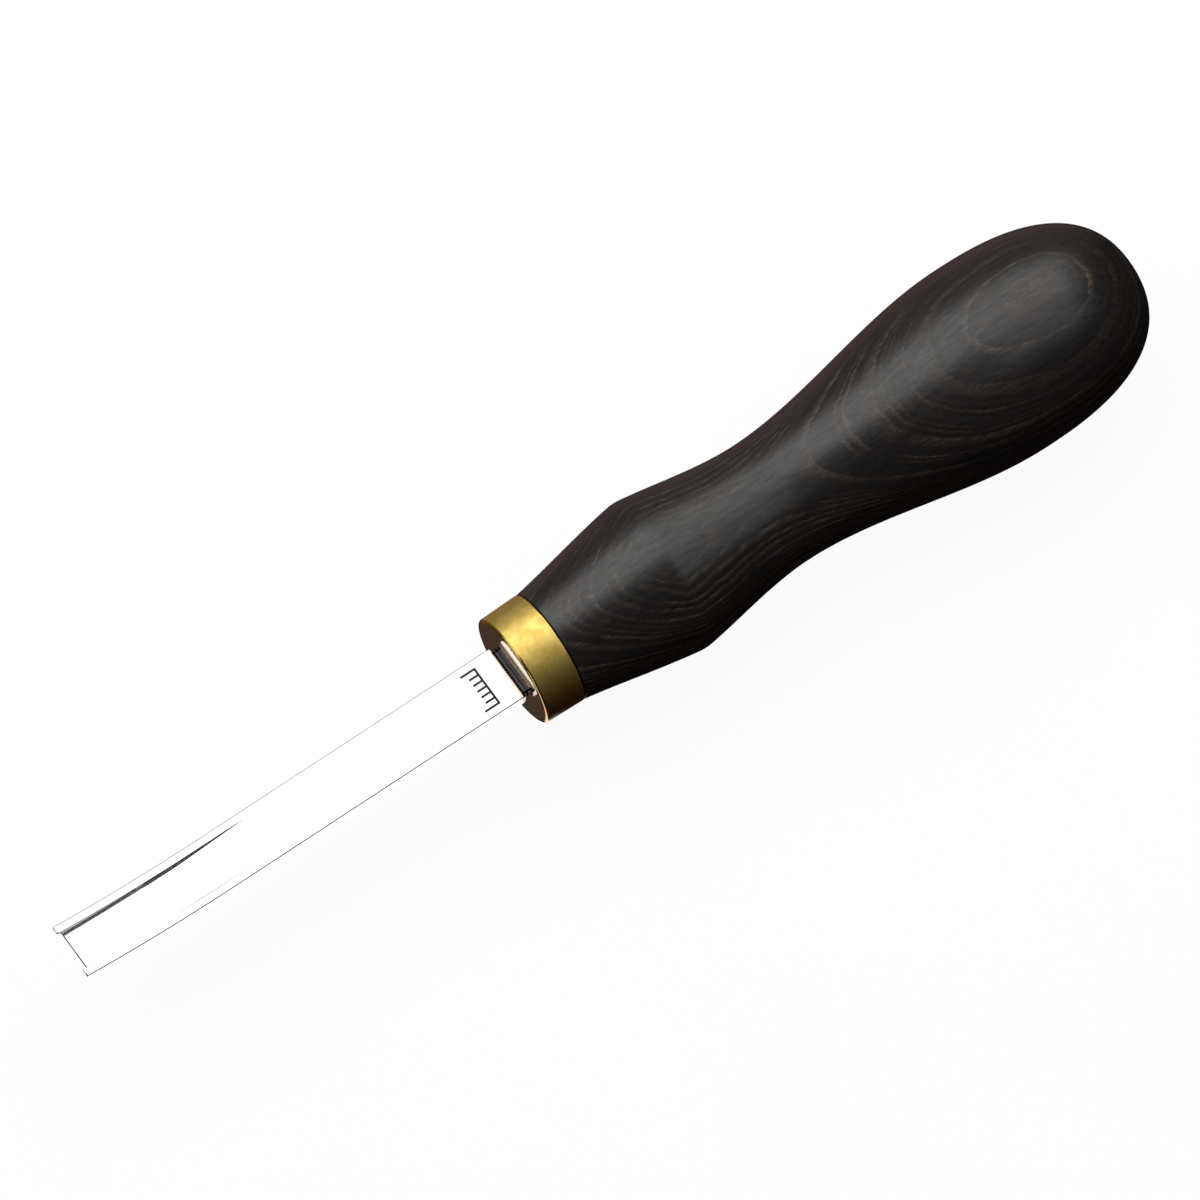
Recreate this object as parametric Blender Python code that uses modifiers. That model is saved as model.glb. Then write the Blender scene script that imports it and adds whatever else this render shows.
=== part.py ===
"""A carving gouge: a channelled steel blade, a brass ferrule and a turned blackwood handle.

Every piece is drawn in the tool's own datum, with the tool's axis along +X, the ferrule's front face at x = 0,
the blade on the -X side and the channel open towards +Z. An empty then carries the whole tool, so that the
centre of its bounding box is the world's origin.
"""

import math

import bmesh
import bpy
from mathutils import Matrix

MM = 0.001
GAP = 0.3 * MM  # clearance between neighbouring pieces

# Blade: a flat bar, swept up at the tip, with a flat-floored channel between two rails.
BLADE_REACH = 75.4 * MM  # ferrule face to the rails' noses, along the bar
BLADE_WIDTH = 8.6 * MM
BLADE_THICKNESS = 2.6 * MM
SWEEP_LENGTH = 26.0 * MM  # curved stretch at the tip
SWEEP_RADIUS = 108.0 * MM
CHANNEL_WIDTH = 6.2 * MM
CHANNEL_LENGTH = 33.0 * MM  # nose to the line where the floor runs out
CHANNEL_DEPTH = 1.8 * MM  # at the cutting edge
EDGE_SETBACK = 1.4 * MM  # cutting edge behind the noses
GRIND_LENGTH = 5.0 * MM  # ground stretch of the underside, back from the noses
GRIND_RISE = 1.0 * MM  # height of the ground underside at the noses
NOSE_RADIUS = 0.4 * MM
SWEEP_STEPS = 8
CHANNEL_STEPS = 11
NOSE_STEPS = 4

# Neck and tang: the bar steps down to the neck, which passes the ferrule, and the tang tapers in the handle.
BAR_END = -0.5 * MM
BAR_END_BEVEL = 0.5 * MM
NECK_SIZE = (7.4 * MM, 1.3 * MM)
NECK_END = 1.5 * MM
TANG_START = 1.0 * MM
TANG_END = 48.0 * MM
TANG_START_SIZE = (5.0 * MM, 1.2 * MM)
TANG_END_SIZE = (3.2 * MM, 1.0 * MM)

# Ferrule: a cap over the handle's tenon, closed at the front except for the neck's slot.
FERRULE_LENGTH = 6.5 * MM
FERRULE_FRONT_RADIUS = 8.5 * MM
FERRULE_BACK_RADIUS = 8.65 * MM
FERRULE_EDGE_RADIUS = 0.8 * MM
FERRULE_WALL = 1.3 * MM
FERRULE_FACE_WALL = 1.5 * MM
FERRULE_EDGE_STEPS = 4

# Handle: collar at the ferrule, a ridge, a waist, and a full round pommel.
COLLAR_X = FERRULE_LENGTH + GAP
COLLAR_RADIUS = 8.65 * MM
COLLAR_SLOPE = 0.16
RIDGE_X = 25.1 * MM
RIDGE_RADIUS = 12.0 * MM
RIDGE_SLOPE_IN = 0.13
RIDGE_SLOPE_OUT = -0.12
WAIST_X = 44.0 * MM
WAIST_RADIUS = 9.52 * MM
POMMEL_X = 81.6 * MM
POMMEL_RADIUS = 14.58 * MM
HANDLE_END = 105.3 * MM
CAP_POWER = 2.5  # exponent of the super-ellipse that rounds the pommel off
TURNED_SEGMENTS = 48

# Bore in the handle and the adhesive that fills it round the tang.
BORE_RADIUS = 4.0 * MM
BORE_END = 52.0 * MM
BORE_POINT = 2.3 * MM  # depth of the drill point's cone
ADHESIVE_END = 51.4 * MM

COLLECTION_NAME = "carving_gouge"
CUTTER_COLLECTION_NAME = "cutters"


# Scene and materials

def clear_scene():
    """Remove every object, so that the file holds only this tool."""
    for item in list(bpy.data.objects):
        bpy.data.objects.remove(item, do_unlink=True)


def make_collection(name):
    """Add a collection to the scene."""
    collection = bpy.data.collections.new(name)
    bpy.context.scene.collection.children.link(collection)
    return collection


def make_material(name, color, roughness, metallic):
    """A Principled material of one colour."""
    material = bpy.data.materials.new(name)
    material.use_nodes = True
    material.diffuse_color = (*color, 1.0)
    shader = material.node_tree.nodes["Principled BSDF"]
    shader.inputs["Base Color"].default_value = (*color, 1.0)
    shader.inputs["Roughness"].default_value = roughness
    shader.inputs["Metallic"].default_value = metallic
    return material


# Shared shape helpers

def add_object(name, data, collection, parent):
    """Link new object data to a collection and hang it on the tool's empty."""
    item = bpy.data.objects.new(name, data)
    collection.objects.link(item)
    item.parent = parent
    return item


def as_cutter(item):
    """Keep an object as a tool for a Boolean, out of the model."""
    item.hide_render = True
    item.display_type = "WIRE"
    return item


def add_boolean(item, other, operation):
    """Cut an object with another, or join them, with the exact solver."""
    modifier = item.modifiers.new(operation.lower(), "BOOLEAN")
    modifier.operation = operation
    modifier.object = other
    modifier.solver = "EXACT"


def turned_profile(name, profile, collection, parent):
    """Turn (radius, x) points about the tool's axis.

    The profile stands in the object's own XZ plane, with the axis along its Z, and runs down the outer side.
    """
    mesh = bpy.data.meshes.new(name)
    points = [(radius, 0.0, x) for radius, x in profile]
    mesh.from_pydata(points, [(i, i + 1) for i in range(len(points) - 1)], [])
    item = add_object(name, mesh, collection, parent)
    item.rotation_euler = (0.0, math.radians(90.0), 0.0)
    screw = item.modifiers.new("turned", "SCREW")
    screw.axis = "Z"
    screw.steps = TURNED_SEGMENTS
    screw.render_steps = TURNED_SEGMENTS
    screw.use_merge_vertices = True
    screw.merge_threshold = 0.00001
    screw.use_smooth_shade = True
    return item


def side_view_solid(name, outline, width, collection, parent):
    """A solid of the given width in Y whose side view is a closed outline of (x, z) points."""
    curve = bpy.data.curves.new(name, "CURVE")
    curve.dimensions = "2D"
    curve.fill_mode = "BOTH"
    curve.extrude = width / 2.0
    spline = curve.splines.new("POLY")
    spline.points.add(len(outline) - 1)
    for point, (x, z) in zip(spline.points, outline):
        point.co = (x, z, 0.0, 1.0)
    spline.use_cyclic_u = True
    drawing = add_object(name + "_outline", curve, collection, parent)
    drawing.rotation_euler = (math.radians(90.0), 0.0, 0.0)
    return curve_to_mesh(drawing, name, collection, parent)


def curve_to_mesh(drawing, name, collection, parent):
    """Replace a filled curve by a closed mesh object in the same place."""
    bpy.context.view_layer.update()
    evaluated = drawing.evaluated_get(bpy.context.evaluated_depsgraph_get())
    mesh = bpy.data.meshes.new_from_object(evaluated)
    mesh.name = name
    shape = bmesh.new()
    shape.from_mesh(mesh)
    bmesh.ops.remove_doubles(shape, verts=shape.verts, dist=0.000001)
    bmesh.ops.recalc_face_normals(shape, faces=shape.faces)
    shape.to_mesh(mesh)
    shape.free()
    item = add_object(name, mesh, collection, parent)
    item.matrix_world = drawing.matrix_world
    bpy.data.objects.remove(drawing, do_unlink=True)
    return item


def tapered_bar(name, start_x, end_x, start_size, end_size, collection, parent):
    """A bar along X whose (width, thickness) changes evenly from its start to its end."""
    shape = bmesh.new()
    length = end_x - start_x
    middle = Matrix.Translation(((start_x + end_x) / 2.0, 0.0, 0.0))
    bmesh.ops.create_cube(shape, size=1.0, matrix=middle @ Matrix.Diagonal((length, 1.0, 1.0, 1.0)))
    for vertex in shape.verts:
        width, thickness = end_size if vertex.co.x > (start_x + end_x) / 2.0 else start_size
        vertex.co.y *= width
        vertex.co.z *= thickness
    mesh = bpy.data.meshes.new(name)
    shape.to_mesh(mesh)
    shape.free()
    return add_object(name, mesh, collection, parent)


def hermite(start, end, start_slope, end_slope, steps):
    """Profile points (radius, x) after start, up to and including end, with the given slopes of radius over x."""
    (start_radius, start_x), (end_radius, end_x) = start, end
    run = end_x - start_x
    points = []
    for step in range(1, steps + 1):
        t = step / steps
        end_weight = t * t * (3.0 - 2.0 * t)
        radius = start_radius * (1.0 - end_weight) + end_radius * end_weight
        radius += run * start_slope * t * (1.0 - t) ** 2 - run * end_slope * t * t * (1.0 - t)
        points.append((radius, start_x + run * t))
    return points


# Blade

def bent(run, height):
    """Side-view point (x, z) at a run back from the rails' noses and a height over the bar's mid-line."""
    into_sweep = SWEEP_LENGTH - run
    if into_sweep <= 0.0:
        return (run - BLADE_REACH, height)
    angle = into_sweep / SWEEP_RADIUS
    reach = SWEEP_RADIUS - height
    sweep_start = SWEEP_LENGTH - BLADE_REACH
    return (sweep_start - reach * math.sin(angle), SWEEP_RADIUS - reach * math.cos(angle))


def underside_height(run):
    """Height of the bar's underside: flat, then ground up towards the noses."""
    ground = max(0.0, GRIND_LENGTH - run)
    return -BLADE_THICKNESS / 2.0 + GRIND_RISE * ground / GRIND_LENGTH


def spread(start, end, steps):
    """Evenly spaced values from start to end."""
    return [start + (end - start) * step / steps for step in range(steps + 1)]


def bar_outline():
    """Side view of the bar: along the top to the nose, round it, and back along the underside."""
    top = BLADE_THICKNESS / 2.0
    end_run = BLADE_REACH + BAR_END
    outline = [bent(end_run, top - BAR_END_BEVEL), bent(end_run - BAR_END_BEVEL, top)]
    outline += [bent(run, top) for run in spread(SWEEP_LENGTH, NOSE_RADIUS, SWEEP_STEPS)]
    for angle in spread(0.0, math.pi / 2.0, NOSE_STEPS)[1:]:
        run = NOSE_RADIUS * (1.0 - math.sin(angle))
        outline.append(bent(run, top - NOSE_RADIUS * (1.0 - math.cos(angle))))
    outline += [bent(run, underside_height(run)) for run in (0.0, GRIND_LENGTH / 2.0, GRIND_LENGTH)]
    outline += [bent(run, -top) for run in spread(GRIND_LENGTH, SWEEP_LENGTH, SWEEP_STEPS)[1:]]
    outline += [bent(end_run - BAR_END_BEVEL, -top), bent(end_run, BAR_END_BEVEL - top)]
    return outline


def channel_outline():
    """Side view of the channel's cutter: down the floor to the cutting edge, then clear of the nose."""
    top = BLADE_THICKNESS / 2.0
    clear = BLADE_THICKNESS
    floor_run = CHANNEL_LENGTH - EDGE_SETBACK
    outline = []
    for run in spread(CHANNEL_LENGTH + clear, EDGE_SETBACK, CHANNEL_STEPS):
        depth = CHANNEL_DEPTH * (CHANNEL_LENGTH - run) / floor_run
        outline.append(bent(run, top - depth))
    outline.append(bent(EDGE_SETBACK, -clear))
    outline.append(bent(-clear, -clear))
    outline += [bent(run, top + clear) for run in spread(-clear, CHANNEL_LENGTH + clear, CHANNEL_STEPS)]
    return outline


def make_blade(parts, cutters, parent):
    """The bar with its channel, joined to the neck and the tang."""
    blade = side_view_solid("blade", bar_outline(), BLADE_WIDTH, parts, parent)
    channel = side_view_solid("channel_cutter", channel_outline(), CHANNEL_WIDTH, cutters, parent)
    neck_start = BAR_END - BAR_END_BEVEL - GAP
    neck = tapered_bar("neck", neck_start, NECK_END, NECK_SIZE, NECK_SIZE, cutters, parent)
    tang = tapered_bar("tang", TANG_START, TANG_END, TANG_START_SIZE, TANG_END_SIZE, cutters, parent)
    add_boolean(blade, as_cutter(channel), "DIFFERENCE")
    add_boolean(blade, as_cutter(neck), "UNION")
    add_boolean(blade, as_cutter(tang), "UNION")
    blade.data.materials.append(make_material("polished_steel", (0.80, 0.80, 0.81), 0.14, 1.0))
    return blade


# Ferrule

def ferrule_profile():
    """Cup profile: inner floor, inner wall, rim, outer side, rounded front edge, front face."""
    inner_radius = FERRULE_BACK_RADIUS - FERRULE_WALL
    profile = [(0.0, FERRULE_FACE_WALL), (inner_radius, FERRULE_FACE_WALL)]
    profile += [(inner_radius, FERRULE_LENGTH), (FERRULE_BACK_RADIUS, FERRULE_LENGTH)]
    for angle in spread(0.0, math.pi / 2.0, FERRULE_EDGE_STEPS):
        radius = FERRULE_FRONT_RADIUS - FERRULE_EDGE_RADIUS * (1.0 - math.cos(angle))
        profile.append((radius, FERRULE_EDGE_RADIUS * (1.0 - math.sin(angle))))
    return profile + [(0.0, 0.0)]


def make_ferrule(parts, cutters, parent):
    """The turned cap, slotted for the blade's neck."""
    ferrule = turned_profile("ferrule", ferrule_profile(), parts, parent)
    slot_size = tuple(size + 2.0 * GAP for size in NECK_SIZE)
    slot = tapered_bar(
        "neck_slot", -FERRULE_FACE_WALL, 2.0 * FERRULE_FACE_WALL, slot_size, slot_size, cutters, parent
    )
    add_boolean(ferrule, as_cutter(slot), "DIFFERENCE")
    ferrule.data.materials.append(make_material("brushed_brass", (0.66, 0.47, 0.17), 0.33, 1.0))
    return ferrule


# Handle

def handle_profile():
    """Profile from the pommel's pole down to the collar, in under the ferrule, and up the bore."""
    cap_length = HANDLE_END - POMMEL_X
    cap_steps = 10
    profile = []
    for angle in spread(0.0, math.pi / 2.0, cap_steps):
        radius = POMMEL_RADIUS * max(0.0, math.sin(angle)) ** (2.0 / CAP_POWER)
        profile.append((radius, POMMEL_X + cap_length * max(0.0, math.cos(angle)) ** (2.0 / CAP_POWER)))
    pommel = (POMMEL_RADIUS, POMMEL_X)
    waist = (WAIST_RADIUS, WAIST_X)
    ridge = (RIDGE_RADIUS, RIDGE_X)
    collar = (COLLAR_RADIUS, COLLAR_X)
    profile += hermite(pommel, waist, 0.0, 0.0, 10)
    profile += hermite(waist, ridge, 0.0, RIDGE_SLOPE_OUT, 7)
    profile += hermite(ridge, collar, RIDGE_SLOPE_IN, COLLAR_SLOPE, 4)
    tenon_radius = FERRULE_BACK_RADIUS - FERRULE_WALL - GAP
    tenon_front = FERRULE_FACE_WALL + GAP
    profile += [(tenon_radius, COLLAR_X), (tenon_radius, tenon_front), (BORE_RADIUS, tenon_front)]
    return profile + [(BORE_RADIUS, BORE_END), (0.0, BORE_END + BORE_POINT)]


def make_handle(parts, parent):
    """The turned handle, with its tenon and its blind bore."""
    handle = turned_profile("handle", handle_profile(), parts, parent)
    handle.data.materials.append(make_material("blackwood", (0.022, 0.019, 0.018), 0.38, 0.0))
    return handle


# Adhesive

def make_adhesive(parts, cutters, parent):
    """The plug of cured adhesive that fills the bore, with the tang's socket in it."""
    radius = BORE_RADIUS - GAP
    front = FERRULE_FACE_WALL + GAP
    profile = [(0.0, ADHESIVE_END), (radius, ADHESIVE_END), (radius, front), (0.0, front)]
    plug = turned_profile("tang_adhesive", profile, parts, parent)
    start_size = tuple(size + 2.0 * GAP for size in TANG_START_SIZE)
    end_size = tuple(size + 2.0 * GAP for size in TANG_END_SIZE)
    socket = tapered_bar(
        "tang_socket", TANG_START, TANG_END + GAP, start_size, end_size, cutters, parent
    )
    add_boolean(plug, as_cutter(socket), "DIFFERENCE")
    plug.data.materials.append(make_material("cured_adhesive", (0.42, 0.33, 0.17), 0.30, 0.0))
    return plug


def main():
    clear_scene()
    parts = make_collection(COLLECTION_NAME)
    cutters = make_collection(CUTTER_COLLECTION_NAME)
    nose_x = min(x for x, _ in bar_outline())
    tool = bpy.data.objects.new("tool_datum", None)
    parts.objects.link(tool)
    tool.location.x = -(nose_x + HANDLE_END) / 2.0
    make_blade(parts, cutters, tool)
    make_ferrule(parts, cutters, tool)
    make_handle(parts, tool)
    make_adhesive(parts, cutters, tool)


main()
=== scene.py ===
"""Looks of the carving gouge: fine meshes, materials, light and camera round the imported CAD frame.

The blade, the ferrule and the handle are drawn again with finer edges in the tool's own datum: the tool's
axis is +X, the ferrule's front face is at x = 0, the blade is on the -X side and its channel is open towards
+Z. Every object is then set down where the frame has its CAD node.
"""

import math

import bmesh
import bpy
from mathutils import Matrix, Vector


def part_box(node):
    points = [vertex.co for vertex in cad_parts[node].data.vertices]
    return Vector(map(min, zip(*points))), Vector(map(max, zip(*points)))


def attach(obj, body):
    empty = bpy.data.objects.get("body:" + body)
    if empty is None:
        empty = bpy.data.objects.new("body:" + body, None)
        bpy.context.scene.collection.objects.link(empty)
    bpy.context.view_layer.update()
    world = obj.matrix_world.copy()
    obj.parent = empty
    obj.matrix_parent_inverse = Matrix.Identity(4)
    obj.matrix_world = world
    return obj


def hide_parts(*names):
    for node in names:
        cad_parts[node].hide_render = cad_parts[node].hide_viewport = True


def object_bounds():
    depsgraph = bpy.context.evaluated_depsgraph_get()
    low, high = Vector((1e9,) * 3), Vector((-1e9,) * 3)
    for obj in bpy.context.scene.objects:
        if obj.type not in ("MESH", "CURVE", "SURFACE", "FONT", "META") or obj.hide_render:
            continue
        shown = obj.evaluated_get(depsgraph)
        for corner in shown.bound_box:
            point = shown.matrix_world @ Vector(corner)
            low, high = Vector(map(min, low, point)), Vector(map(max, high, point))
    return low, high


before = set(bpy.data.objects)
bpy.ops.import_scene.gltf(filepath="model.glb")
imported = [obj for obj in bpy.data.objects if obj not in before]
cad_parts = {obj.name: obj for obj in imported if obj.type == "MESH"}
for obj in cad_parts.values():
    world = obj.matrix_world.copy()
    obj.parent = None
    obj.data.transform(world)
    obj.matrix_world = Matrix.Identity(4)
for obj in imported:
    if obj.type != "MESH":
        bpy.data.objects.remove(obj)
cad_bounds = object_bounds()

MM = 0.001
WELD = 0.001 * MM  # vertices closer than this are one
blade_low, blade_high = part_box("blade")
ferrule_low, ferrule_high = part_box("ferrule")
handle_low, handle_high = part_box("handle")
DATUM_X = ferrule_low.x

# Blade: the sizes that the boxes don't give. A run is measured back from the rails' noses.
BLADE_REACH = 75.4 * MM
BLADE_HALF_WIDTH = blade_high.y
BLADE_HALF_THICKNESS = -blade_low.z
SWEEP_LENGTH = 26.0 * MM
SWEEP_RADIUS = 108.0 * MM
CHANNEL_HALF_WIDTH = 3.1 * MM
CHANNEL_LENGTH = 33.0 * MM
CHANNEL_DEPTH = 1.8 * MM
EDGE_SETBACK = 1.4 * MM
GRIND_LENGTH = 5.0 * MM  # run of the slope ground on the underside of the tip
GRIND_RISE = 1.0 * MM
NOSE_RADIUS = 0.4 * MM  # seen from the side
NOSE_PLAN_RADIUS = 0.3 * MM  # seen from above
EDGE_BEVEL = 0.13 * MM  # steep last step of the channel's floor down to the cutting edge
NOSE_START = 0.75 * EDGE_SETBACK  # one more station between the cutting edge and the noses' rounds
BAR_END = -0.5 * MM  # x where the bar steps down to the neck
BAR_END_BEVEL = 0.5 * MM
BAR_END_SIDE_BEVEL = 0.15 * MM
ARRIS = 0.12 * MM  # chamfer of the bar's long outer edges
LIP = 0.10 * MM  # rounding of the rails' inner edges
CHANNEL_FILLET = 0.32 * MM
NARROW_WALL = 0.75  # where the neck's and the tang's sections carry the walls' points, of their half width
NECK_SIZE = (7.4 * MM, 1.3 * MM)
NECK_END = 1.5 * MM
TANG_START_SIZE = (5.0 * MM, 1.2 * MM)
TANG_END_SIZE = (3.2 * MM, 1.0 * MM)
TANG_END = 48.0 * MM

# Size mark: a line graduated in millimetres, cut in the top of the bar in front of the ferrule.
MARK_X = -5.4 * MM
MARK_STEPS = 6
MARK_SPACING = 1.0 * MM
MARK_STROKE = 0.35 * MM
MARK_TICKS = (2.2 * MM, 1.4 * MM)  # end ticks, inner ticks
MARK_DEPTH = 0.1 * MM
MARK_TICK_SHARE = 0.98  # of the line's width and depth, so that no faces of the line and its ticks coincide

# Ferrule
FERRULE_LENGTH = ferrule_high.x - ferrule_low.x
FERRULE_BACK_RADIUS = ferrule_high.z
FERRULE_TAPER = 0.15 * MM
FERRULE_FRONT_RADIUS = FERRULE_BACK_RADIUS - FERRULE_TAPER
FERRULE_EDGE = (0.45 * MM, 1.0 * MM)  # rounding of the front edge: along the axis, along the radius
FERRULE_BACK_EDGE = 0.28 * MM
FERRULE_WALL = 1.3 * MM
FERRULE_FACE_WALL = 1.5 * MM
SLOT_CLEARANCE = 0.3 * MM

# Handle
COLLAR_GAP = 0.06 * MM
COLLAR_X = FERRULE_LENGTH + COLLAR_GAP
COLLAR_RADIUS = 8.62 * MM
COLLAR_ROUND = 0.12 * MM
COLLAR_SLOPE = 0.16
RIDGE_X = 25.1 * MM
RIDGE_RADIUS = 12.0 * MM
RIDGE_SLOPE_IN = 0.13
RIDGE_SLOPE_OUT = -0.12
RIDGE_SOFTNESS = 0.8 * MM  # half the length over which the ridge is rubbed round
RIDGE_REACH = 4.0 * RIDGE_SOFTNESS  # where the rubbing has faded out
WAIST_X = 44.0 * MM
WAIST_RADIUS = 9.52 * MM
POMMEL_X = 81.6 * MM
POMMEL_RADIUS = handle_high.z
HANDLE_END = handle_high.x - DATUM_X
CAP_POWER = 2.5  # the pommel's end is a superellipse of this power
TENON_RADIUS = FERRULE_BACK_RADIUS - FERRULE_WALL - SLOT_CLEARANCE
TENON_FRONT = handle_low.x - DATUM_X
BORE_RADIUS = 4.0 * MM
BORE_END = 52.0 * MM
BORE_POINT = 2.3 * MM

TURNED_SEGMENTS = 128

# View: which way the tool lies in the picture.
AXIS_AWAY = math.radians(12.3)  # pommel end away from the camera
ROLL = math.radians(15.0)  # camera round the tool's axis, from straight above towards -Y
AXIS_SLOPE = math.radians(33.2)  # the tool's axis rises this much to the right
CAMERA_DISTANCE = 5.0
SENSOR_WIDTH = 36.0
PICTURE_WIDTH = 166.7 * MM  # at the tool
AIM_UP = 2.0 * MM  # from the middle of the tool's box
AIM_RIGHT = -0.05 * MM

# Surroundings
FLOOR_DROP = 0.2 * MM
FLOOR_HALF_SIZE = 3.0
LOW_CARD_RADIANCE = 1.7
LOW_CARD_WIDTH = 4.0 * MM
LOW_CARD_GAP = 2.5 * MM  # from the blade's side
LOW_CARD_PAST_FERRULE = 5.0 * MM  # past the ferrule's front face
TIP_CARD_AHEAD = 40.0 * MM  # before the tip
TIP_CARD_BEHIND = 6.0 * MM
TIP_CARD_HALF_WIDTH = 20.0 * MM


# Curves and profiles

def spread(start, end, steps):
    """Evenly spaced values from start to end."""
    return [start + (end - start) * step / steps for step in range(steps + 1)]


def quarter(steps):
    """(sine, cosine) pairs over a quarter turn."""
    return [(math.sin(angle), math.cos(angle)) for angle in spread(0.0, math.pi / 2.0, steps)]


def chamfer(steps):
    """Straight stand-in for quarter(): the same ends, along the chord."""
    return [(part, 1.0 - part) for part in spread(0.0, 1.0, steps)]


def hermite_value(x, start, end, start_slope, end_slope):
    """Radius at x on the cubic between two (x, radius) points with the given slopes."""
    run = end[0] - start[0]
    t = (x - start[0]) / run
    weight = t * t * (3.0 - 2.0 * t)
    bend = run * (start_slope * t * (1.0 - t) ** 2 - end_slope * t * t * (1.0 - t))
    return start[1] * (1.0 - weight) + end[1] * weight + bend


# Meshes

def new_object(name, mesh):
    """Put a mesh in the scene, at the tool's datum."""
    item = bpy.data.objects.new(name, mesh)
    bpy.context.scene.collection.objects.link(item)
    item.location.x = DATUM_X
    return item


def mesh_from(shape, name):
    """Finish a bmesh: faces out, as a new mesh."""
    bmesh.ops.recalc_face_normals(shape, faces=shape.faces)
    mesh = bpy.data.meshes.new(name)
    shape.to_mesh(mesh)
    shape.free()
    return mesh


def settle(item, name):
    """Replace an object's mesh and modifiers by its evaluated mesh."""
    bpy.context.view_layer.update()
    evaluated = item.evaluated_get(bpy.context.evaluated_depsgraph_get())
    mesh = bpy.data.meshes.new_from_object(evaluated)
    mesh.name = name
    item.modifiers.clear()
    item.data = mesh
    return item


def shade(item, sharp_angle):
    """Smooth shading that keeps flats flat and edges over the angle sharp."""
    item.data.shade_smooth()
    item.data.set_sharp_from_angle(angle=math.radians(sharp_angle))
    weighted = item.modifiers.new("flat_faces", "WEIGHTED_NORMAL")
    weighted.keep_sharp = True
    weighted.weight = 100


def turned(name, profile):
    """Turn (x, radius) points about the tool's axis."""
    shape = bmesh.new()
    points = [shape.verts.new((x, 0.0, radius)) for x, radius in profile]
    edges = [shape.edges.new(pair) for pair in zip(points, points[1:])]
    bmesh.ops.spin(
        shape, geom=points + edges, cent=(0.0, 0.0, 0.0), axis=(1.0, 0.0, 0.0),
        angle=math.tau, steps=TURNED_SEGMENTS, use_duplicate=False,
    )
    bmesh.ops.remove_doubles(shape, verts=shape.verts, dist=WELD)
    return new_object(name, mesh_from(shape, name))


def box_shape(shape, middle, size):
    """Add a box to a bmesh."""
    matrix = Matrix.Translation(middle) @ Matrix.Diagonal((*size, 1.0))
    bmesh.ops.create_cube(shape, size=1.0, matrix=matrix)


def cut(item, cutter_shape, name):
    """Cut a shape out of an object. The cut's faces take the object's second material, if it has one."""
    cutter = new_object(name, mesh_from(cutter_shape, name))
    for slot_material in item.data.materials[1:]:
        cutter.data.materials.append(slot_material)
    boolean = item.modifiers.new(name, "BOOLEAN")
    boolean.operation = "DIFFERENCE"
    boolean.solver = "EXACT"
    boolean.use_self = True
    boolean.material_mode = "TRANSFER"
    boolean.object = cutter
    settle(item, item.name)
    bpy.data.objects.remove(cutter, do_unlink=True)


# Blade

def bent(run, y, height):
    """Point at a run back from the noses and a height over the bar's mid-line, with the sweep put in."""
    into_sweep = SWEEP_LENGTH - run
    if into_sweep <= 0.0:
        return Vector((run - BLADE_REACH, y, height))
    angle = into_sweep / SWEEP_RADIUS
    reach = SWEEP_RADIUS - height
    x = SWEEP_LENGTH - BLADE_REACH - reach * math.sin(angle)
    return Vector((x, y, SWEEP_RADIUS - reach * math.cos(angle)))


def underside(run):
    """Height of the bar's underside: flat, then ground up towards the noses."""
    ground = min(max(0.0, GRIND_LENGTH - run), GRIND_LENGTH)
    return -BLADE_HALF_THICKNESS + GRIND_RISE * ground / GRIND_LENGTH


def channel_depth(run):
    """Depth of the channel's floor under the bar's top."""
    slope = (CHANNEL_DEPTH - EDGE_BEVEL) / (CHANNEL_LENGTH - EDGE_SETBACK)
    last_step = max(0.0, EDGE_SETBACK + EDGE_BEVEL - run)
    return max(0.0, CHANNEL_LENGTH - run) * slope + last_step


def half_section(run, half_width, low, high, arris, depth):
    """Right half of a section, from the middle of the underside to the middle of the channel's floor."""
    wall = min(CHANNEL_HALF_WIDTH, NARROW_WALL * half_width)
    lip = min(LIP, depth / 2.0)
    fillet = min(CHANNEL_FILLET, depth / 2.0)
    floor = high - depth
    outline = [(0.0, low), (wall, low)]
    outline += [(half_width - arris * (1.0 - s), low + arris * (1.0 - c)) for s, c in chamfer(3)]
    outline += [(half_width - arris * (1.0 - c), high - arris * (1.0 - s)) for s, c in chamfer(3)]
    outline += [(wall + lip * (1.0 - s), high - lip * (1.0 - c)) for s, c in quarter(3)]
    outline += [(wall - fillet * (1.0 - c), floor + fillet * (1.0 - s)) for s, c in quarter(3)]
    return [bent(run, y, z) for y, z in outline + [(0.0, floor)]]


def nose_inset(run, radius):
    """How far a round of the given radius has drawn in at a run."""
    if run >= radius:
        return 0.0
    return radius - math.sqrt(max(0.0, radius ** 2 - (radius - run) ** 2))


def rail_section(run):
    """Section of one rail past the cutting edge, from its inner bottom edge round to its inner side."""
    side = nose_inset(run, NOSE_PLAN_RADIUS)
    inner = CHANNEL_HALF_WIDTH + side
    outer = BLADE_HALF_WIDTH - side
    low = underside(run) + side
    high = BLADE_HALF_THICKNESS - nose_inset(run, NOSE_RADIUS)
    outline = [(inner, low)]
    outline += [(outer - ARRIS * (1.0 - s), low + ARRIS * (1.0 - c)) for s, c in chamfer(3)]
    outline += [(outer - ARRIS * (1.0 - c), high - ARRIS * (1.0 - s)) for s, c in chamfer(3)]
    outline += [(inner + LIP * (1.0 - s), high - LIP * (1.0 - c)) for s, c in quarter(3)]
    outline.append((inner, (low + high) / 2.0))
    return [bent(run, y, z) for y, z in outline]


def bar_section(run, inset_z=0.0, inset_y=0.0):
    """Half section of the bar, drawn in at its end by the end's bevel."""
    low = underside(run) + inset_z
    high = BLADE_HALF_THICKNESS - inset_z
    return half_section(run, BLADE_HALF_WIDTH - inset_y, low, high, ARRIS, channel_depth(run))


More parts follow.
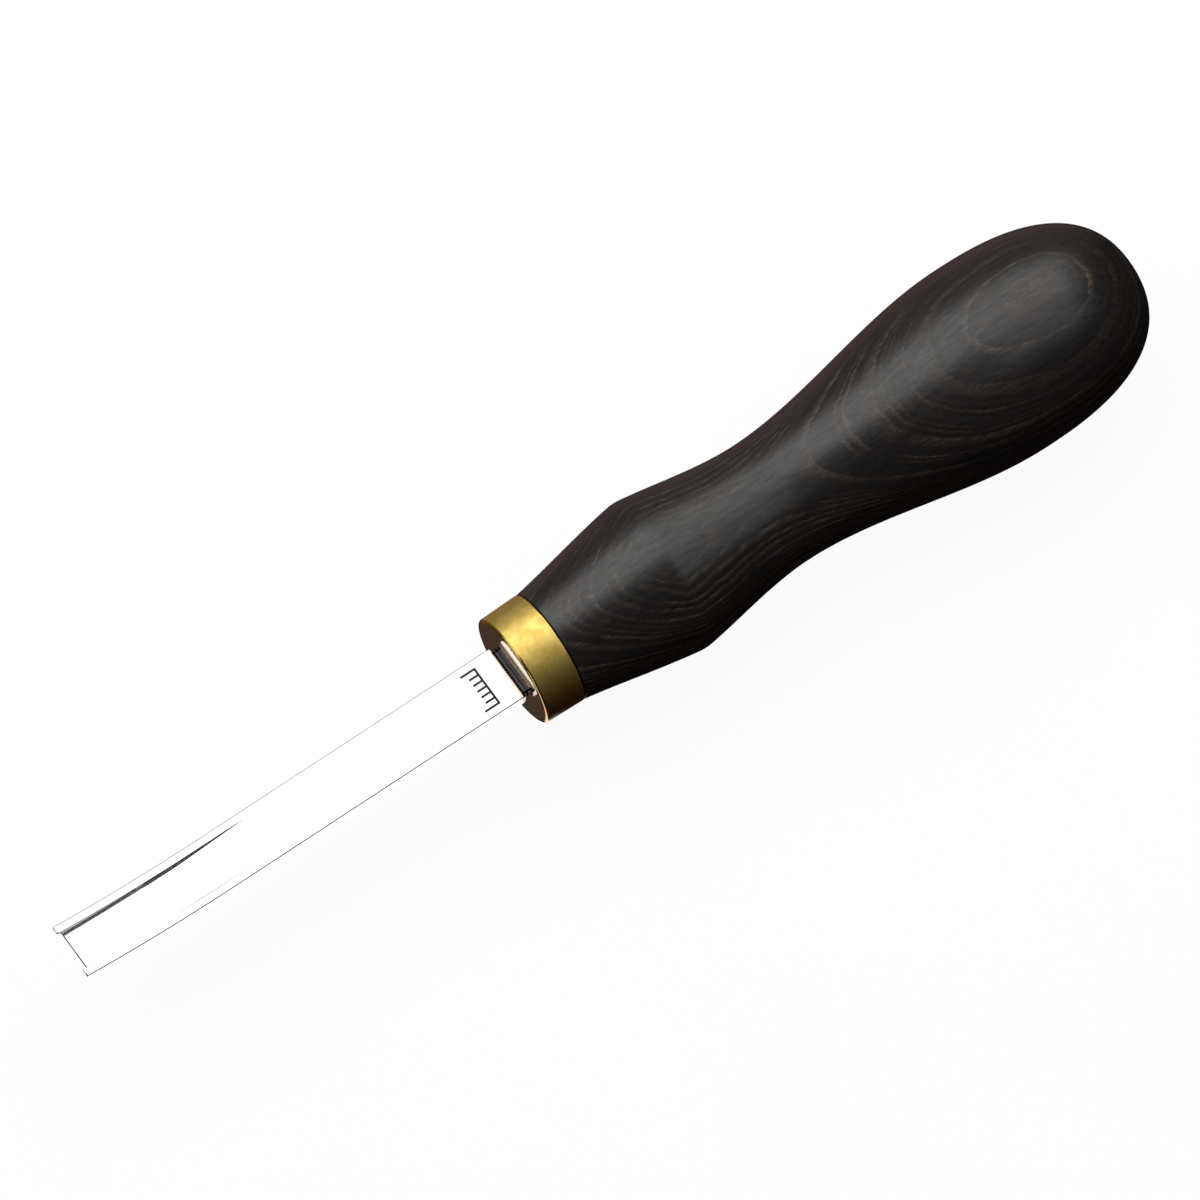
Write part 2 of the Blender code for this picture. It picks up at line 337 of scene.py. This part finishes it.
def plain_section(x, size):
    """Half section of the neck or the tang at x."""
    half_width, half_thickness = size[0] / 2.0, size[1] / 2.0
    return half_section(x + BLADE_REACH, half_width, -half_thickness, half_thickness, 2.0 * ARRIS, 0.0)


def blade_sections():
    """Half sections from the tang's end to the cutting edge."""
    end_run = BLADE_REACH + BAR_END
    sections = [plain_section(TANG_END, TANG_END_SIZE), plain_section(NECK_END, TANG_START_SIZE)]
    sections += [plain_section(NECK_END, NECK_SIZE), plain_section(BAR_END, NECK_SIZE)]
    sections.append(bar_section(end_run, BAR_END_BEVEL, BAR_END_SIDE_BEVEL))
    sections.append(bar_section(end_run - BAR_END_SIDE_BEVEL, BAR_END_BEVEL - BAR_END_SIDE_BEVEL))
    sections.append(bar_section(end_run - BAR_END_BEVEL))
    sections += [bar_section(run) for run in spread(end_run - 2.0 * BAR_END_BEVEL, CHANNEL_LENGTH, 8)]
    sections += [bar_section(run) for run in spread(CHANNEL_LENGTH, GRIND_LENGTH, 36)[1:]]
    sections += [bar_section(run) for run in spread(GRIND_LENGTH, EDGE_SETBACK + EDGE_BEVEL, 6)[1:]]
    return sections + [bar_section(EDGE_SETBACK)]


def mirrored(points):
    """Points on the other side of the tool's middle plane."""
    return [Vector((point.x, -point.y, point.z)) for point in points]


def skin(shape, first, second):
    """Join two closed rows of vertices with faces."""
    for index in range(len(first)):
        before = index - 1
        shape.faces.new([first[before], first[index], second[index], second[before]])


def add_rail_nose(shape, mouth, side):
    """Carry a rail from the end of the bar to its round nose. Side is 1 or -1."""
    runs = [NOSE_START, NOSE_RADIUS]
    runs += [NOSE_RADIUS * (1.0 - s) for s, c in quarter(8)[1:-1]]
    row = mouth
    for run in runs + [0.0]:
        points = rail_section(run)
        points = points if side > 0 else mirrored(points)
        following = [shape.verts.new(point) for point in points]
        skin(shape, row, following)
        row = following
    shape.faces.new(row)


def blade_shape():
    """The whole blade as one closed skin. The last section opens into the two rails."""
    shape = bmesh.new()
    rows = []
    for half in blade_sections():
        loop = half + mirrored(half[1:-1])[::-1]
        rows.append([shape.verts.new(point) for point in loop])
    for first, second in zip(rows, rows[1:]):
        skin(shape, first, second)
    shape.faces.new(rows[0])
    count = len(rows[-1])
    right = rows[-1][: count // 2 + 1]
    left = [rows[-1][0]] + rows[-1][: count // 2 - 1: -1]
    rail_points = len(rail_section(EDGE_SETBACK))
    for half, side in ((right, 1), (left, -1)):
        mouth = half[1: 1 + rail_points]
        shape.faces.new([half[0], mouth[0], mouth[-1]] + half[1 + rail_points:])
        add_rail_nose(shape, mouth, side)
    bmesh.ops.remove_doubles(shape, verts=shape.verts, dist=WELD)
    bmesh.ops.dissolve_degenerate(shape, edges=shape.edges, dist=WELD / 2.0)
    return shape


def mark_shape():
    """Cutter for the size mark: a line across the bar and its ticks."""
    shape = bmesh.new()
    top = Vector((0.0, 0.0, BLADE_HALF_THICKNESS))
    height = 2.0 * MARK_DEPTH
    line_x = MARK_X + max(MARK_TICKS) / 2.0
    length = MARK_STEPS * MARK_SPACING + MARK_STROKE
    box_shape(shape, top + Vector((line_x, 0.0, 0.0)), (MARK_STROKE, length, height))
    for step in range(MARK_STEPS + 1):
        tick = MARK_TICKS[0 if step in (0, MARK_STEPS) else 1]
        y = (step - MARK_STEPS / 2.0) * MARK_SPACING
        reach = tick + MARK_STROKE / 2.0
        middle = Vector((line_x - reach / 2.0, y, 0.0))
        box_shape(shape, top + middle, (reach, MARK_TICK_SHARE * MARK_STROKE, MARK_TICK_SHARE * height))
    return shape


def make_blade(steel, mark):
    """The blade, with its mark."""
    blade = new_object("gouge_blade", mesh_from(blade_shape(), "gouge_blade"))
    blade.data.materials.append(steel)
    blade.data.materials.append(mark)
    cut(blade, mark_shape(), "size_mark")
    shade(blade, 32.0)
    return blade


# Ferrule

def ferrule_profile():
    """(x, radius) from the inner floor along the wall, the rim and the side to the middle of the face."""
    inner = FERRULE_BACK_RADIUS - FERRULE_WALL
    edge_x, edge_radius = FERRULE_EDGE
    profile = [(FERRULE_FACE_WALL, 0.0), (FERRULE_FACE_WALL, inner), (FERRULE_LENGTH, inner)]
    for s, c in quarter(5):
        radius = FERRULE_BACK_RADIUS - FERRULE_BACK_EDGE * (1.0 - s)
        profile.append((FERRULE_LENGTH - FERRULE_BACK_EDGE * (1.0 - c), radius))
    taper = FERRULE_TAPER / (FERRULE_LENGTH - FERRULE_BACK_EDGE - edge_x)
    side = spread(FERRULE_LENGTH - FERRULE_BACK_EDGE, edge_x, 6)
    profile += [(x, FERRULE_FRONT_RADIUS + taper * (x - edge_x)) for x in side[1:-1]]
    for s, c in quarter(12):
        profile.append((edge_x * (1.0 - s), FERRULE_FRONT_RADIUS - edge_radius * (1.0 - c)))
    return profile + [(0.0, 0.0)]


def make_ferrule(brass):
    """The turned cap, slotted for the blade's neck."""
    ferrule = turned("gouge_ferrule", ferrule_profile())
    slot = bmesh.new()
    width, thickness = (size + 2.0 * SLOT_CLEARANCE for size in NECK_SIZE)
    middle = Vector((FERRULE_FACE_WALL / 2.0, 0.0, 0.0))
    box_shape(slot, middle, (3.0 * FERRULE_FACE_WALL, width, thickness))
    ferrule.data.materials.append(brass)
    cut(ferrule, slot, "neck_slot")
    shade(ferrule, 32.0)
    return ferrule


# Handle

def handle_radius(x):
    """Radius of the turned outline at x, between the collar and the pommel's widest place."""
    collar = (COLLAR_X, COLLAR_RADIUS)
    ridge = (RIDGE_X, RIDGE_RADIUS)
    waist = (WAIST_X, WAIST_RADIUS)
    pommel = (POMMEL_X, POMMEL_RADIUS)
    if x <= RIDGE_X:
        return hermite_value(x, collar, ridge, COLLAR_SLOPE, RIDGE_SLOPE_IN)
    if x <= WAIST_X:
        return hermite_value(x, ridge, waist, RIDGE_SLOPE_OUT, 0.0)
    return hermite_value(x, waist, pommel, 0.0, 0.0)


def rubbed_radius(x):
    """The outline with its ridge rubbed round: the mean over a stretch that shrinks away from the ridge."""
    from_ridge = (x - RIDGE_X) / RIDGE_REACH
    if abs(from_ridge) >= 1.0:
        return handle_radius(x)
    stretch = RIDGE_SOFTNESS * (1.0 + math.cos(math.pi * from_ridge)) / 2.0
    samples = [handle_radius(x + offset) for offset in spread(-stretch, stretch, 12)]
    return sum(samples) / len(samples)


def handle_profile():
    """(x, radius) from the pommel's pole down to the collar, in under the ferrule, and up the bore."""
    cap_length = HANDLE_END - POMMEL_X
    profile = []
    for s, c in quarter(40):
        radius = POMMEL_RADIUS * max(0.0, s) ** (2.0 / CAP_POWER)
        profile.append((POMMEL_X + cap_length * max(0.0, c) ** (2.0 / CAP_POWER), radius))
    body_start = COLLAR_X + COLLAR_ROUND
    near, far = RIDGE_X - 3.0 * RIDGE_SOFTNESS, RIDGE_X + 3.0 * RIDGE_SOFTNESS
    stations = spread(POMMEL_X, far, 56)[1:] + spread(far, near, 16)[1:] + spread(near, body_start, 14)[1:]
    profile += [(x, rubbed_radius(x)) for x in stations]
    for s, c in quarter(4)[1:]:
        radius = handle_radius(body_start) - COLLAR_ROUND * (1.0 - c)
        profile.append((body_start - COLLAR_ROUND * s, radius))
    profile += [(COLLAR_X, TENON_RADIUS), (TENON_FRONT, TENON_RADIUS), (TENON_FRONT, BORE_RADIUS)]
    return profile + [(BORE_END, BORE_RADIUS), (BORE_END + BORE_POINT, 0.0)]


def make_handle(wood):
    """The turned handle, with its tenon and its blind bore."""
    handle = turned("gouge_handle", handle_profile())
    handle.data.materials.append(wood)
    handle.data.shade_smooth()
    handle.data.set_sharp_from_angle(angle=math.radians(50.0))
    return handle


# Materials

class Nodes:
    """Short calls for building a node tree. A value can be a number, a tuple or another node's output."""

    def __init__(self, owner):
        self.owner = owner
        self.owner.use_nodes = True
        self.tree = self.owner.node_tree

    def put(self, socket, value):
        """Feed an input with a value or with another node's output."""
        if isinstance(value, bpy.types.NodeSocket):
            self.tree.links.new(value, socket)
        else:
            socket.default_value = value

    def node(self, kind, inputs, **settings):
        """Add a node with its settings, and feed its inputs by place."""
        made = self.tree.nodes.new(kind)
        for key, value in settings.items():
            setattr(made, key, value)
        for index, value in inputs.items():
            self.put(made.inputs[index], value)
        return made

    def math(self, operation, *values):
        """One value from one, two or three."""
        return self.node("ShaderNodeMath", dict(enumerate(values)), operation=operation).outputs[0]

    def vector(self, operation, *values):
        """Vector arithmetic that gives a vector."""
        made = self.node("ShaderNodeVectorMath", dict(enumerate(values)), operation=operation)
        return made.outputs["Vector"]

    def dot(self, first, second):
        """Dot product of two vectors."""
        made = self.node("ShaderNodeVectorMath", {0: first, 1: second}, operation="DOT_PRODUCT")
        return made.outputs["Value"]

    def millimetres(self):
        """Place on the object, in millimetres from its origin."""
        place = self.node("ShaderNodeTexCoord", {}).outputs["Object"]
        return self.vector("MULTIPLY", place, (1000.0,) * 3)

    def noise(self, place, scale, detail=2.0, roughness=0.5, distortion=0.0):
        """Smooth noise, 0 to 1. The scale may differ along x, y and z."""
        stretched = self.vector("MULTIPLY", place, scale)
        inputs = {"Vector": stretched, "Scale": 1.0, "Detail": detail, "Roughness": roughness}
        inputs["Distortion"] = distortion
        return self.node("ShaderNodeTexNoise", inputs).outputs[0]

    def noise_along(self, value, detail=1.0):
        """Smooth noise, 0 to 1, of one value."""
        inputs = {"W": value, "Scale": 1.0, "Detail": detail}
        return self.node("ShaderNodeTexNoise", inputs, noise_dimensions="1D").outputs[0]

    def remap(self, value, low, high, new_low=0.0, new_high=1.0):
        """Straight change of range, kept inside the new one."""
        inputs = {0: value, 1: low, 2: high, 3: new_low, 4: new_high}
        return self.node("ShaderNodeMapRange", inputs).outputs[0]

    def smooth_step(self, value, low, high):
        """0 below low, 1 above high, and smooth between."""
        inputs = {0: value, 1: low, 2: high, 3: 0.0, 4: 1.0}
        return self.node("ShaderNodeMapRange", inputs, interpolation_type="SMOOTHSTEP").outputs[0]

    def facing(self, direction, axis, low, high):
        """0 to 1 as a direction turns towards an axis, from its low dot product with it to its high one."""
        return self.smooth_step(self.dot(direction, axis), low, high)

    def mix(self, factor, first, second):
        """Mix of two colours."""
        made = self.node("ShaderNodeMix", {0: factor, 6: first, 7: second}, data_type="RGBA")
        return made.outputs[2]

    def bump(self, height, distance):
        """Normal for a relief: its height, 0 to 1, stands for the given distance in metres."""
        return self.node("ShaderNodeBump", {"Height": height, "Distance": distance}).outputs[0]

    def finish(self, **inputs):
        """Feed the Principled shader, with _ for a space in an input's name, and give the material."""
        shader = self.tree.nodes["Principled BSDF"]
        for name, value in inputs.items():
            self.put(shader.inputs[name.replace("_", " ")], value)
        return self.owner


def surface(name):
    """The node tree of a new material."""
    return Nodes(bpy.data.materials.new(name))


def color(red, green, blue):
    """An opaque linear colour."""
    return (red, green, blue, 1.0)


def wood_rings(n, place):
    """Growth rings round a pith under the handle: how strongly a ring shows, and its year's random value."""
    lean, turn = math.radians(6.0), math.radians(3.0)
    outward = (math.sin(lean), -math.sin(turn) * math.cos(lean), math.cos(turn) * math.cos(lean))
    across = (0.0, math.cos(turn), math.sin(turn))
    centre_x = 60.0
    pith_depth = 45.0
    ring_spacing = 0.62

    from_centre = n.vector("SUBTRACT", place, (centre_x, 0.0, 0.0))
    high = n.math("ADD", n.dot(from_centre, outward), pith_depth)
    wide = n.dot(from_centre, across)
    from_pith = n.math("SQRT", n.math("ADD", n.math("POWER", high, 2.0), n.math("POWER", wide, 2.0)))
    warp = n.noise(place, (0.022, 0.05, 0.05), 2.0)
    flutter = n.noise(place, (0.12, 0.45, 0.45), 3.0, 0.6)
    from_pith = n.math("MULTIPLY_ADD", warp, 3.0, from_pith)
    from_pith = n.math("MULTIPLY_ADD", flutter, 0.45, from_pith)

    uneven = n.noise_along(n.math("MULTIPLY", from_pith, 0.45))
    years = n.math("MULTIPLY_ADD", uneven, 2.6, n.math("DIVIDE", from_pith, ring_spacing))
    in_year = n.math("FRACT", years)
    year = n.math("FLOOR", years)
    dice = n.node("ShaderNodeTexWhiteNoise", {"W": year}, noise_dimensions="1D").outputs["Value"]
    rise = n.smooth_step(in_year, 0.35, 0.88)
    fall = n.math("SUBTRACT", 1.0, n.smooth_step(in_year, 0.90, 1.0))
    line = n.math("MULTIPLY", rise, fall)
    line = n.math("MULTIPLY", line, n.remap(dice, 0.15, 1.0, 0.08, 1.0))
    patchy = n.smooth_step(n.noise(place, (0.06, 0.14, 0.14), 4.0, 0.65), 0.33, 0.58)
    return n.math("MULTIPLY", line, patchy), dice


def blackwood():
    """Dense, nearly black turned wood: flecked brown rings, grain along the handle, small pores."""
    n = surface("visual_blackwood")
    place = n.millimetres()
    ring, dice = wood_rings(n, place)
    grain = n.noise(place, (0.24, 1.7, 1.7), 4.0, 0.68)
    streak = n.noise(place, (0.16, 3.2, 3.2), 3.0, 0.6)
    fibre = n.noise(place, (0.35, 9.0, 9.0), 2.0, 0.6)
    pores = n.smooth_step(n.noise(place, (0.55, 7.5, 7.5), 1.0, 0.4), 0.66, 0.76)
    fleck = n.smooth_step(n.noise(place, (0.50, 2.6, 2.6), 3.0, 0.6), 0.42, 0.64)
    flecked = n.math("MULTIPLY", ring, n.math("MULTIPLY_ADD", fleck, 0.75, 0.25))

    dark = n.mix(grain, color(0.003, 0.003, 0.003), color(0.020, 0.018, 0.017))
    brown = n.mix(dice, color(0.185, 0.103, 0.055), color(0.105, 0.080, 0.058))
    base = n.mix(n.math("MULTIPLY", flecked, 0.9), dark, brown)
    base = n.mix(n.math("MULTIPLY", pores, 0.5), base, color(0.003, 0.003, 0.003))
    relief = n.math("MULTIPLY_ADD", fibre, 0.5, n.math("MULTIPLY", streak, 0.6))
    relief = n.math("SUBTRACT", relief, n.math("MULTIPLY", pores, 0.35))
    relief = n.math("MULTIPLY_ADD", flecked, 0.2, relief)
    rough = n.math("MULTIPLY_ADD", streak, 0.08, n.math("MULTIPLY_ADD", ring, 0.06, 0.30))
    return n.finish(
        Base_Color=base,
        Roughness=rough,
        IOR=1.52,
        Specular_IOR_Level=n.remap(grain, 0.30, 0.70, 0.40, 0.60),
        Normal=n.bump(relief, 0.010 * MM),
    )


def brushed_brass():
    """Brass with fine turning rings, a darker brown painted shade on one side, and burnished on its face and
    edges.
    """
    n = surface("visual_brushed_brass")
    place = n.millimetres()
    x = n.dot(place, (1.0, 0.0, 0.0))
    front = FERRULE_EDGE[0] / MM
    back = (FERRULE_LENGTH - FERRULE_BACK_EDGE) / MM
    side = n.math("SUBTRACT", n.smooth_step(x, 0.75 * front, front), n.smooth_step(x, back, back + 0.1))
    off_face = n.smooth_step(x, 0.0, 0.05)
    rings = n.noise(place, (26.0, 0.35, 0.35), 3.0, 0.6)
    mottle = n.noise(place, (0.45, 0.45, 0.45), 3.0, 0.6)
    patch = n.smooth_step(mottle, 0.35, 0.65)
    # Painted shade: the side turned away from the light (down and towards -Y) is tinted a darker brown in
    # the mix below.
    painted_shade_side = n.smooth_step(n.dot(place, (0.0, -0.97, -0.26)), 2.5, 7.5)
    tint = n.mix(patch, color(0.64, 0.445, 0.105), color(0.76, 0.58, 0.18))
    tint = n.mix(painted_shade_side, tint, color(0.46, 0.27, 0.055))
    tint = n.mix(off_face, color(0.42, 0.34, 0.25), tint)
    side_rough = n.math("MULTIPLY_ADD", rings, 0.06, n.remap(mottle, 0.3, 0.7, 0.49, 0.43))
    burnished = n.math("MULTIPLY_ADD", off_face, 0.05, 0.09)
    rough = n.math("MULTIPLY_ADD", side, n.math("SUBTRACT", side_rough, burnished), burnished)
    return n.finish(
        Base_Color=tint,
        Metallic=1.0,
        Roughness=rough,
        Normal=n.bump(n.math("MULTIPLY", rings, side), 0.0025 * MM),
    )


def polished_steel():
    """Polished steel with faint grinding lines along the bar. The neck is coloured much darker and made
    duller.
    """
    n = surface("visual_polished_steel")
    place = n.millimetres()
    lines = n.noise(place, (0.10, 16.0, 16.0), 3.0, 0.6)
    cloud = n.noise(place, (0.25, 0.5, 0.5), 2.0, 0.5)
    bar_end = BAR_END / MM
    neck = n.smooth_step(n.dot(place, (1.0, 0.0, 0.0)), bar_end - 0.02, bar_end + 0.02)
    tint = n.mix(cloud, color(0.60, 0.605, 0.61), color(0.65, 0.65, 0.65))
    tint = n.mix(neck, tint, color(0.050, 0.050, 0.052))
    rough = n.math("MULTIPLY_ADD", lines, 0.02, n.remap(cloud, 0.3, 0.7, 0.02, 0.04))
    rough = n.math("MULTIPLY_ADD", neck, 0.25, rough)
    return n.finish(
        Base_Color=tint,
        Metallic=1.0,
        Roughness=rough,
        Normal=n.bump(lines, 0.0002 * MM),
    )


def etched_mark():
    """The dark, matt inside of the size mark."""
    n = surface("visual_etched_mark")
    grain = n.noise(n.millimetres(), (9.0, 9.0, 9.0), 2.0)
    return n.finish(
        Base_Color=n.mix(grain, color(0.004, 0.004, 0.004), color(0.014, 0.013, 0.013)),
        Metallic=0.0,
        Roughness=n.remap(grain, 0.2, 0.8, 0.55, 0.75),
        Normal=n.bump(grain, 0.006 * MM),
    )


def cured_adhesive():
    """Amber epoxy with faint flow lines and small bubbles."""
    n = surface("visual_cured_adhesive")
    place = n.millimetres()
    flow = n.noise(place, (0.2, 0.9, 0.9), 2.0, 0.5, 1.5)
    bubbles = n.smooth_step(n.noise(place, (3.0, 3.0, 3.0), 0.0), 0.70, 0.76)
    tint = n.mix(flow, color(0.36, 0.27, 0.13), color(0.48, 0.38, 0.20))
    return n.finish(
        Base_Color=n.mix(bubbles, tint, color(0.60, 0.52, 0.34)),
        Roughness=n.remap(flow, 0.2, 0.8, 0.24, 0.36),
        Normal=n.bump(bubbles, 0.02 * MM),
    )


def pale_floor():
    """Near-white, even floor that takes only a faint shadow."""
    n = surface("pale_floor")
    grain = n.noise(n.millimetres(), (0.02, 0.02, 0.02), 2.0)
    return n.finish(
        Base_Color=n.mix(grain, color(0.035, 0.035, 0.035), color(0.045, 0.045, 0.045)),
        Roughness=0.9,
        Emission_Color=color(1.0, 1.0, 1.0),
        Emission_Strength=0.95,
    )


# Floor, light and camera

def make_floor():
    """A wide floor just under the tool. It isn't mirrored in the metal, which keeps dark edges."""
    shape = bmesh.new()
    bmesh.ops.create_grid(shape, x_segments=1, y_segments=1, size=FLOOR_HALF_SIZE)
    floor = new_object("floor", mesh_from(shape, "floor"))
    floor.location = (0.0, 0.0, cad_bounds[0].z - FLOOR_DROP)
    floor.data.materials.append(pale_floor())
    floor.visible_glossy = False
    floor.visible_diffuse = False


def card_light(name, size, radiance):
    """A rectangular light of the given radiance that the camera doesn't see. It shines along its own -Z."""
    light = bpy.data.lights.new(name, "AREA")
    light.shape = "RECTANGLE"
    light.size, light.size_y = size
    light.energy = radiance * math.pi * light.size * light.size_y
    item = bpy.data.objects.new(name, light)
    bpy.context.scene.collection.objects.link(item)
    item.visible_camera = False
    return item


def add_panel(name, direction, distance, size, radiance):
    """A soft panel that faces the tool from a direction. Its first side follows the tool's axis."""
    towards = Vector(direction).normalized()
    along = (Vector((1.0, 0.0, 0.0)) - towards.x * towards).normalized()
    panel = card_light(name, size, radiance)
    turn = Matrix((along, towards.cross(along), towards)).transposed().to_4x4()
    panel.matrix_world = Matrix.Translation(towards * distance) @ turn
    return panel


def add_low_card(name, low, high):
    """A white card on the floor that is only mirrored in the metal. Low and high are its (x, y) corners."""
    card = card_light(name, (high[0] - low[0], high[1] - low[1]), LOW_CARD_RADIANCE)
    card.location = ((low[0] + high[0]) / 2.0, (low[1] + high[1]) / 2.0, cad_bounds[0].z)
    card.rotation_euler.x = math.pi
    card.visible_diffuse = False


def mirrored_room(n, direction):
    """The room as a gloss mirrors it: nearly dark, with a dim back wall and white past the tip."""
    behind = n.facing(direction, (0.0, 1.0, 0.0), 0.30, 0.80)
    above_floor = n.facing(direction, (0.0, 0.0, 1.0), -0.60, -0.25)
    in_front = n.facing(direction, (0.0, -0.50, 0.85), 0.10, 0.50)
    past_tip = n.facing(direction, (-1.0, 0.0, 0.0), 0.78, 0.88)
    past_tip = n.math("MULTIPLY", past_tip, n.facing(direction, (0.0, 1.0, 0.0), 0.05, 0.20))
    under_tip = n.facing(direction, (-1.0, 0.0, 0.0), 0.05, 0.20)
    under_tip = n.math("MULTIPLY", under_tip, n.facing(direction, (0.0, 0.0, -1.0), 0.60, 0.85))

    back_wall = n.mix(above_floor, color(0.24, 0.13, 0.12), color(0.19, 0.18, 0.17))
    shown = n.mix(under_tip, color(0.008, 0.005, 0.004), color(0.090, 0.058, 0.045))
    shown = n.mix(behind, shown, back_wall)
    shown = n.mix(in_front, shown, color(0.055, 0.050, 0.047))
    return n.mix(past_tip, shown, color(1.0, 1.0, 1.0))


def make_room():
    """White to the camera, a dim even fill for matt surfaces, and nearly dark where a gloss mirrors it."""
    n = Nodes(bpy.data.worlds.new("room"))
    bpy.context.scene.world = n.owner
    path = n.node("ShaderNodeLightPath", {})
    direction = n.node("ShaderNodeTexCoord", {}).outputs["Generated"]
    room = n.mix(path.outputs["Is Glossy Ray"], color(0.07, 0.07, 0.07), mirrored_room(n, direction))
    room = n.mix(path.outputs["Is Camera Ray"], room, color(0.98, 0.98, 0.98))
    n.put(n.tree.nodes["Background"].inputs["Color"], room)


def make_lights():
    """A long soft panel overhead, two smaller ones, white cards on the floor by the blade, and the room."""
    overhead = add_panel("overhead_softbox", (0.07, 0.50, 0.86), 0.8, size=(1.6, 0.85), radiance=2.0)
    overhead.data.color = (1.0, 0.99, 0.97)
    add_panel("key_card", (-0.12, 0.50, 0.86), 0.78, size=(0.40, 0.60), radiance=0.6)
    add_panel("side_card", (0.47, -0.27, 0.84), 0.8, size=(0.46, 0.43), radiance=1.1)
    tip_x = DATUM_X - BLADE_REACH
    tip_card_end = tip_x + TIP_CARD_BEHIND
    beside_y = blade_low.y - LOW_CARD_GAP
    low = (tip_card_end, beside_y - LOW_CARD_WIDTH)
    high = (DATUM_X + LOW_CARD_PAST_FERRULE, beside_y)
    add_low_card("card_beside_blade", low, high)
    low = (tip_x - TIP_CARD_AHEAD, -TIP_CARD_HALF_WIDTH)
    high = (tip_card_end, TIP_CARD_HALF_WIDTH)
    add_low_card("card_under_tip", low, high)
    make_room()


def make_camera():
    """A long lens over the tool, which lies slanting across the picture."""
    level = math.cos(AXIS_AWAY)
    back = Vector((-math.sin(AXIS_AWAY), -level * math.sin(ROLL), level * math.cos(ROLL)))
    along = (Vector((1.0, 0.0, 0.0)) - back.x * back).normalized()
    aside = back.cross(along)
    right = math.cos(AXIS_SLOPE) * along - math.sin(AXIS_SLOPE) * aside
    up = math.sin(AXIS_SLOPE) * along + math.cos(AXIS_SLOPE) * aside
    lens = bpy.data.cameras.new("camera")
    lens.sensor_width = SENSOR_WIDTH
    lens.lens = SENSOR_WIDTH * CAMERA_DISTANCE / PICTURE_WIDTH
    lens.clip_end = 2.0 * CAMERA_DISTANCE
    camera = bpy.data.objects.new("camera", lens)
    bpy.context.scene.collection.objects.link(camera)
    centre = (cad_bounds[0] + cad_bounds[1]) / 2.0 + AIM_RIGHT * right + AIM_UP * up
    turn = Matrix((right, up, back)).transposed().to_4x4()
    camera.matrix_world = Matrix.Translation(centre + CAMERA_DISTANCE * back) @ turn
    bpy.context.scene.camera = camera


def add_piece(item, node):
    """The item stands for a CAD node and moves with the tool's one body."""
    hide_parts(node)
    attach(item, "root")


def main():
    """Dress the frame, then set the floor, the light and the camera round it."""
    add_piece(make_blade(polished_steel(), etched_mark()), "blade")
    add_piece(make_ferrule(brushed_brass()), "ferrule")
    add_piece(make_handle(blackwood()), "handle")
    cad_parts["tang_adhesive"].material_slots[0].material = cured_adhesive()
    make_floor()
    make_lights()
    make_camera()
    bpy.context.scene.view_settings.view_transform = "Standard"


main()
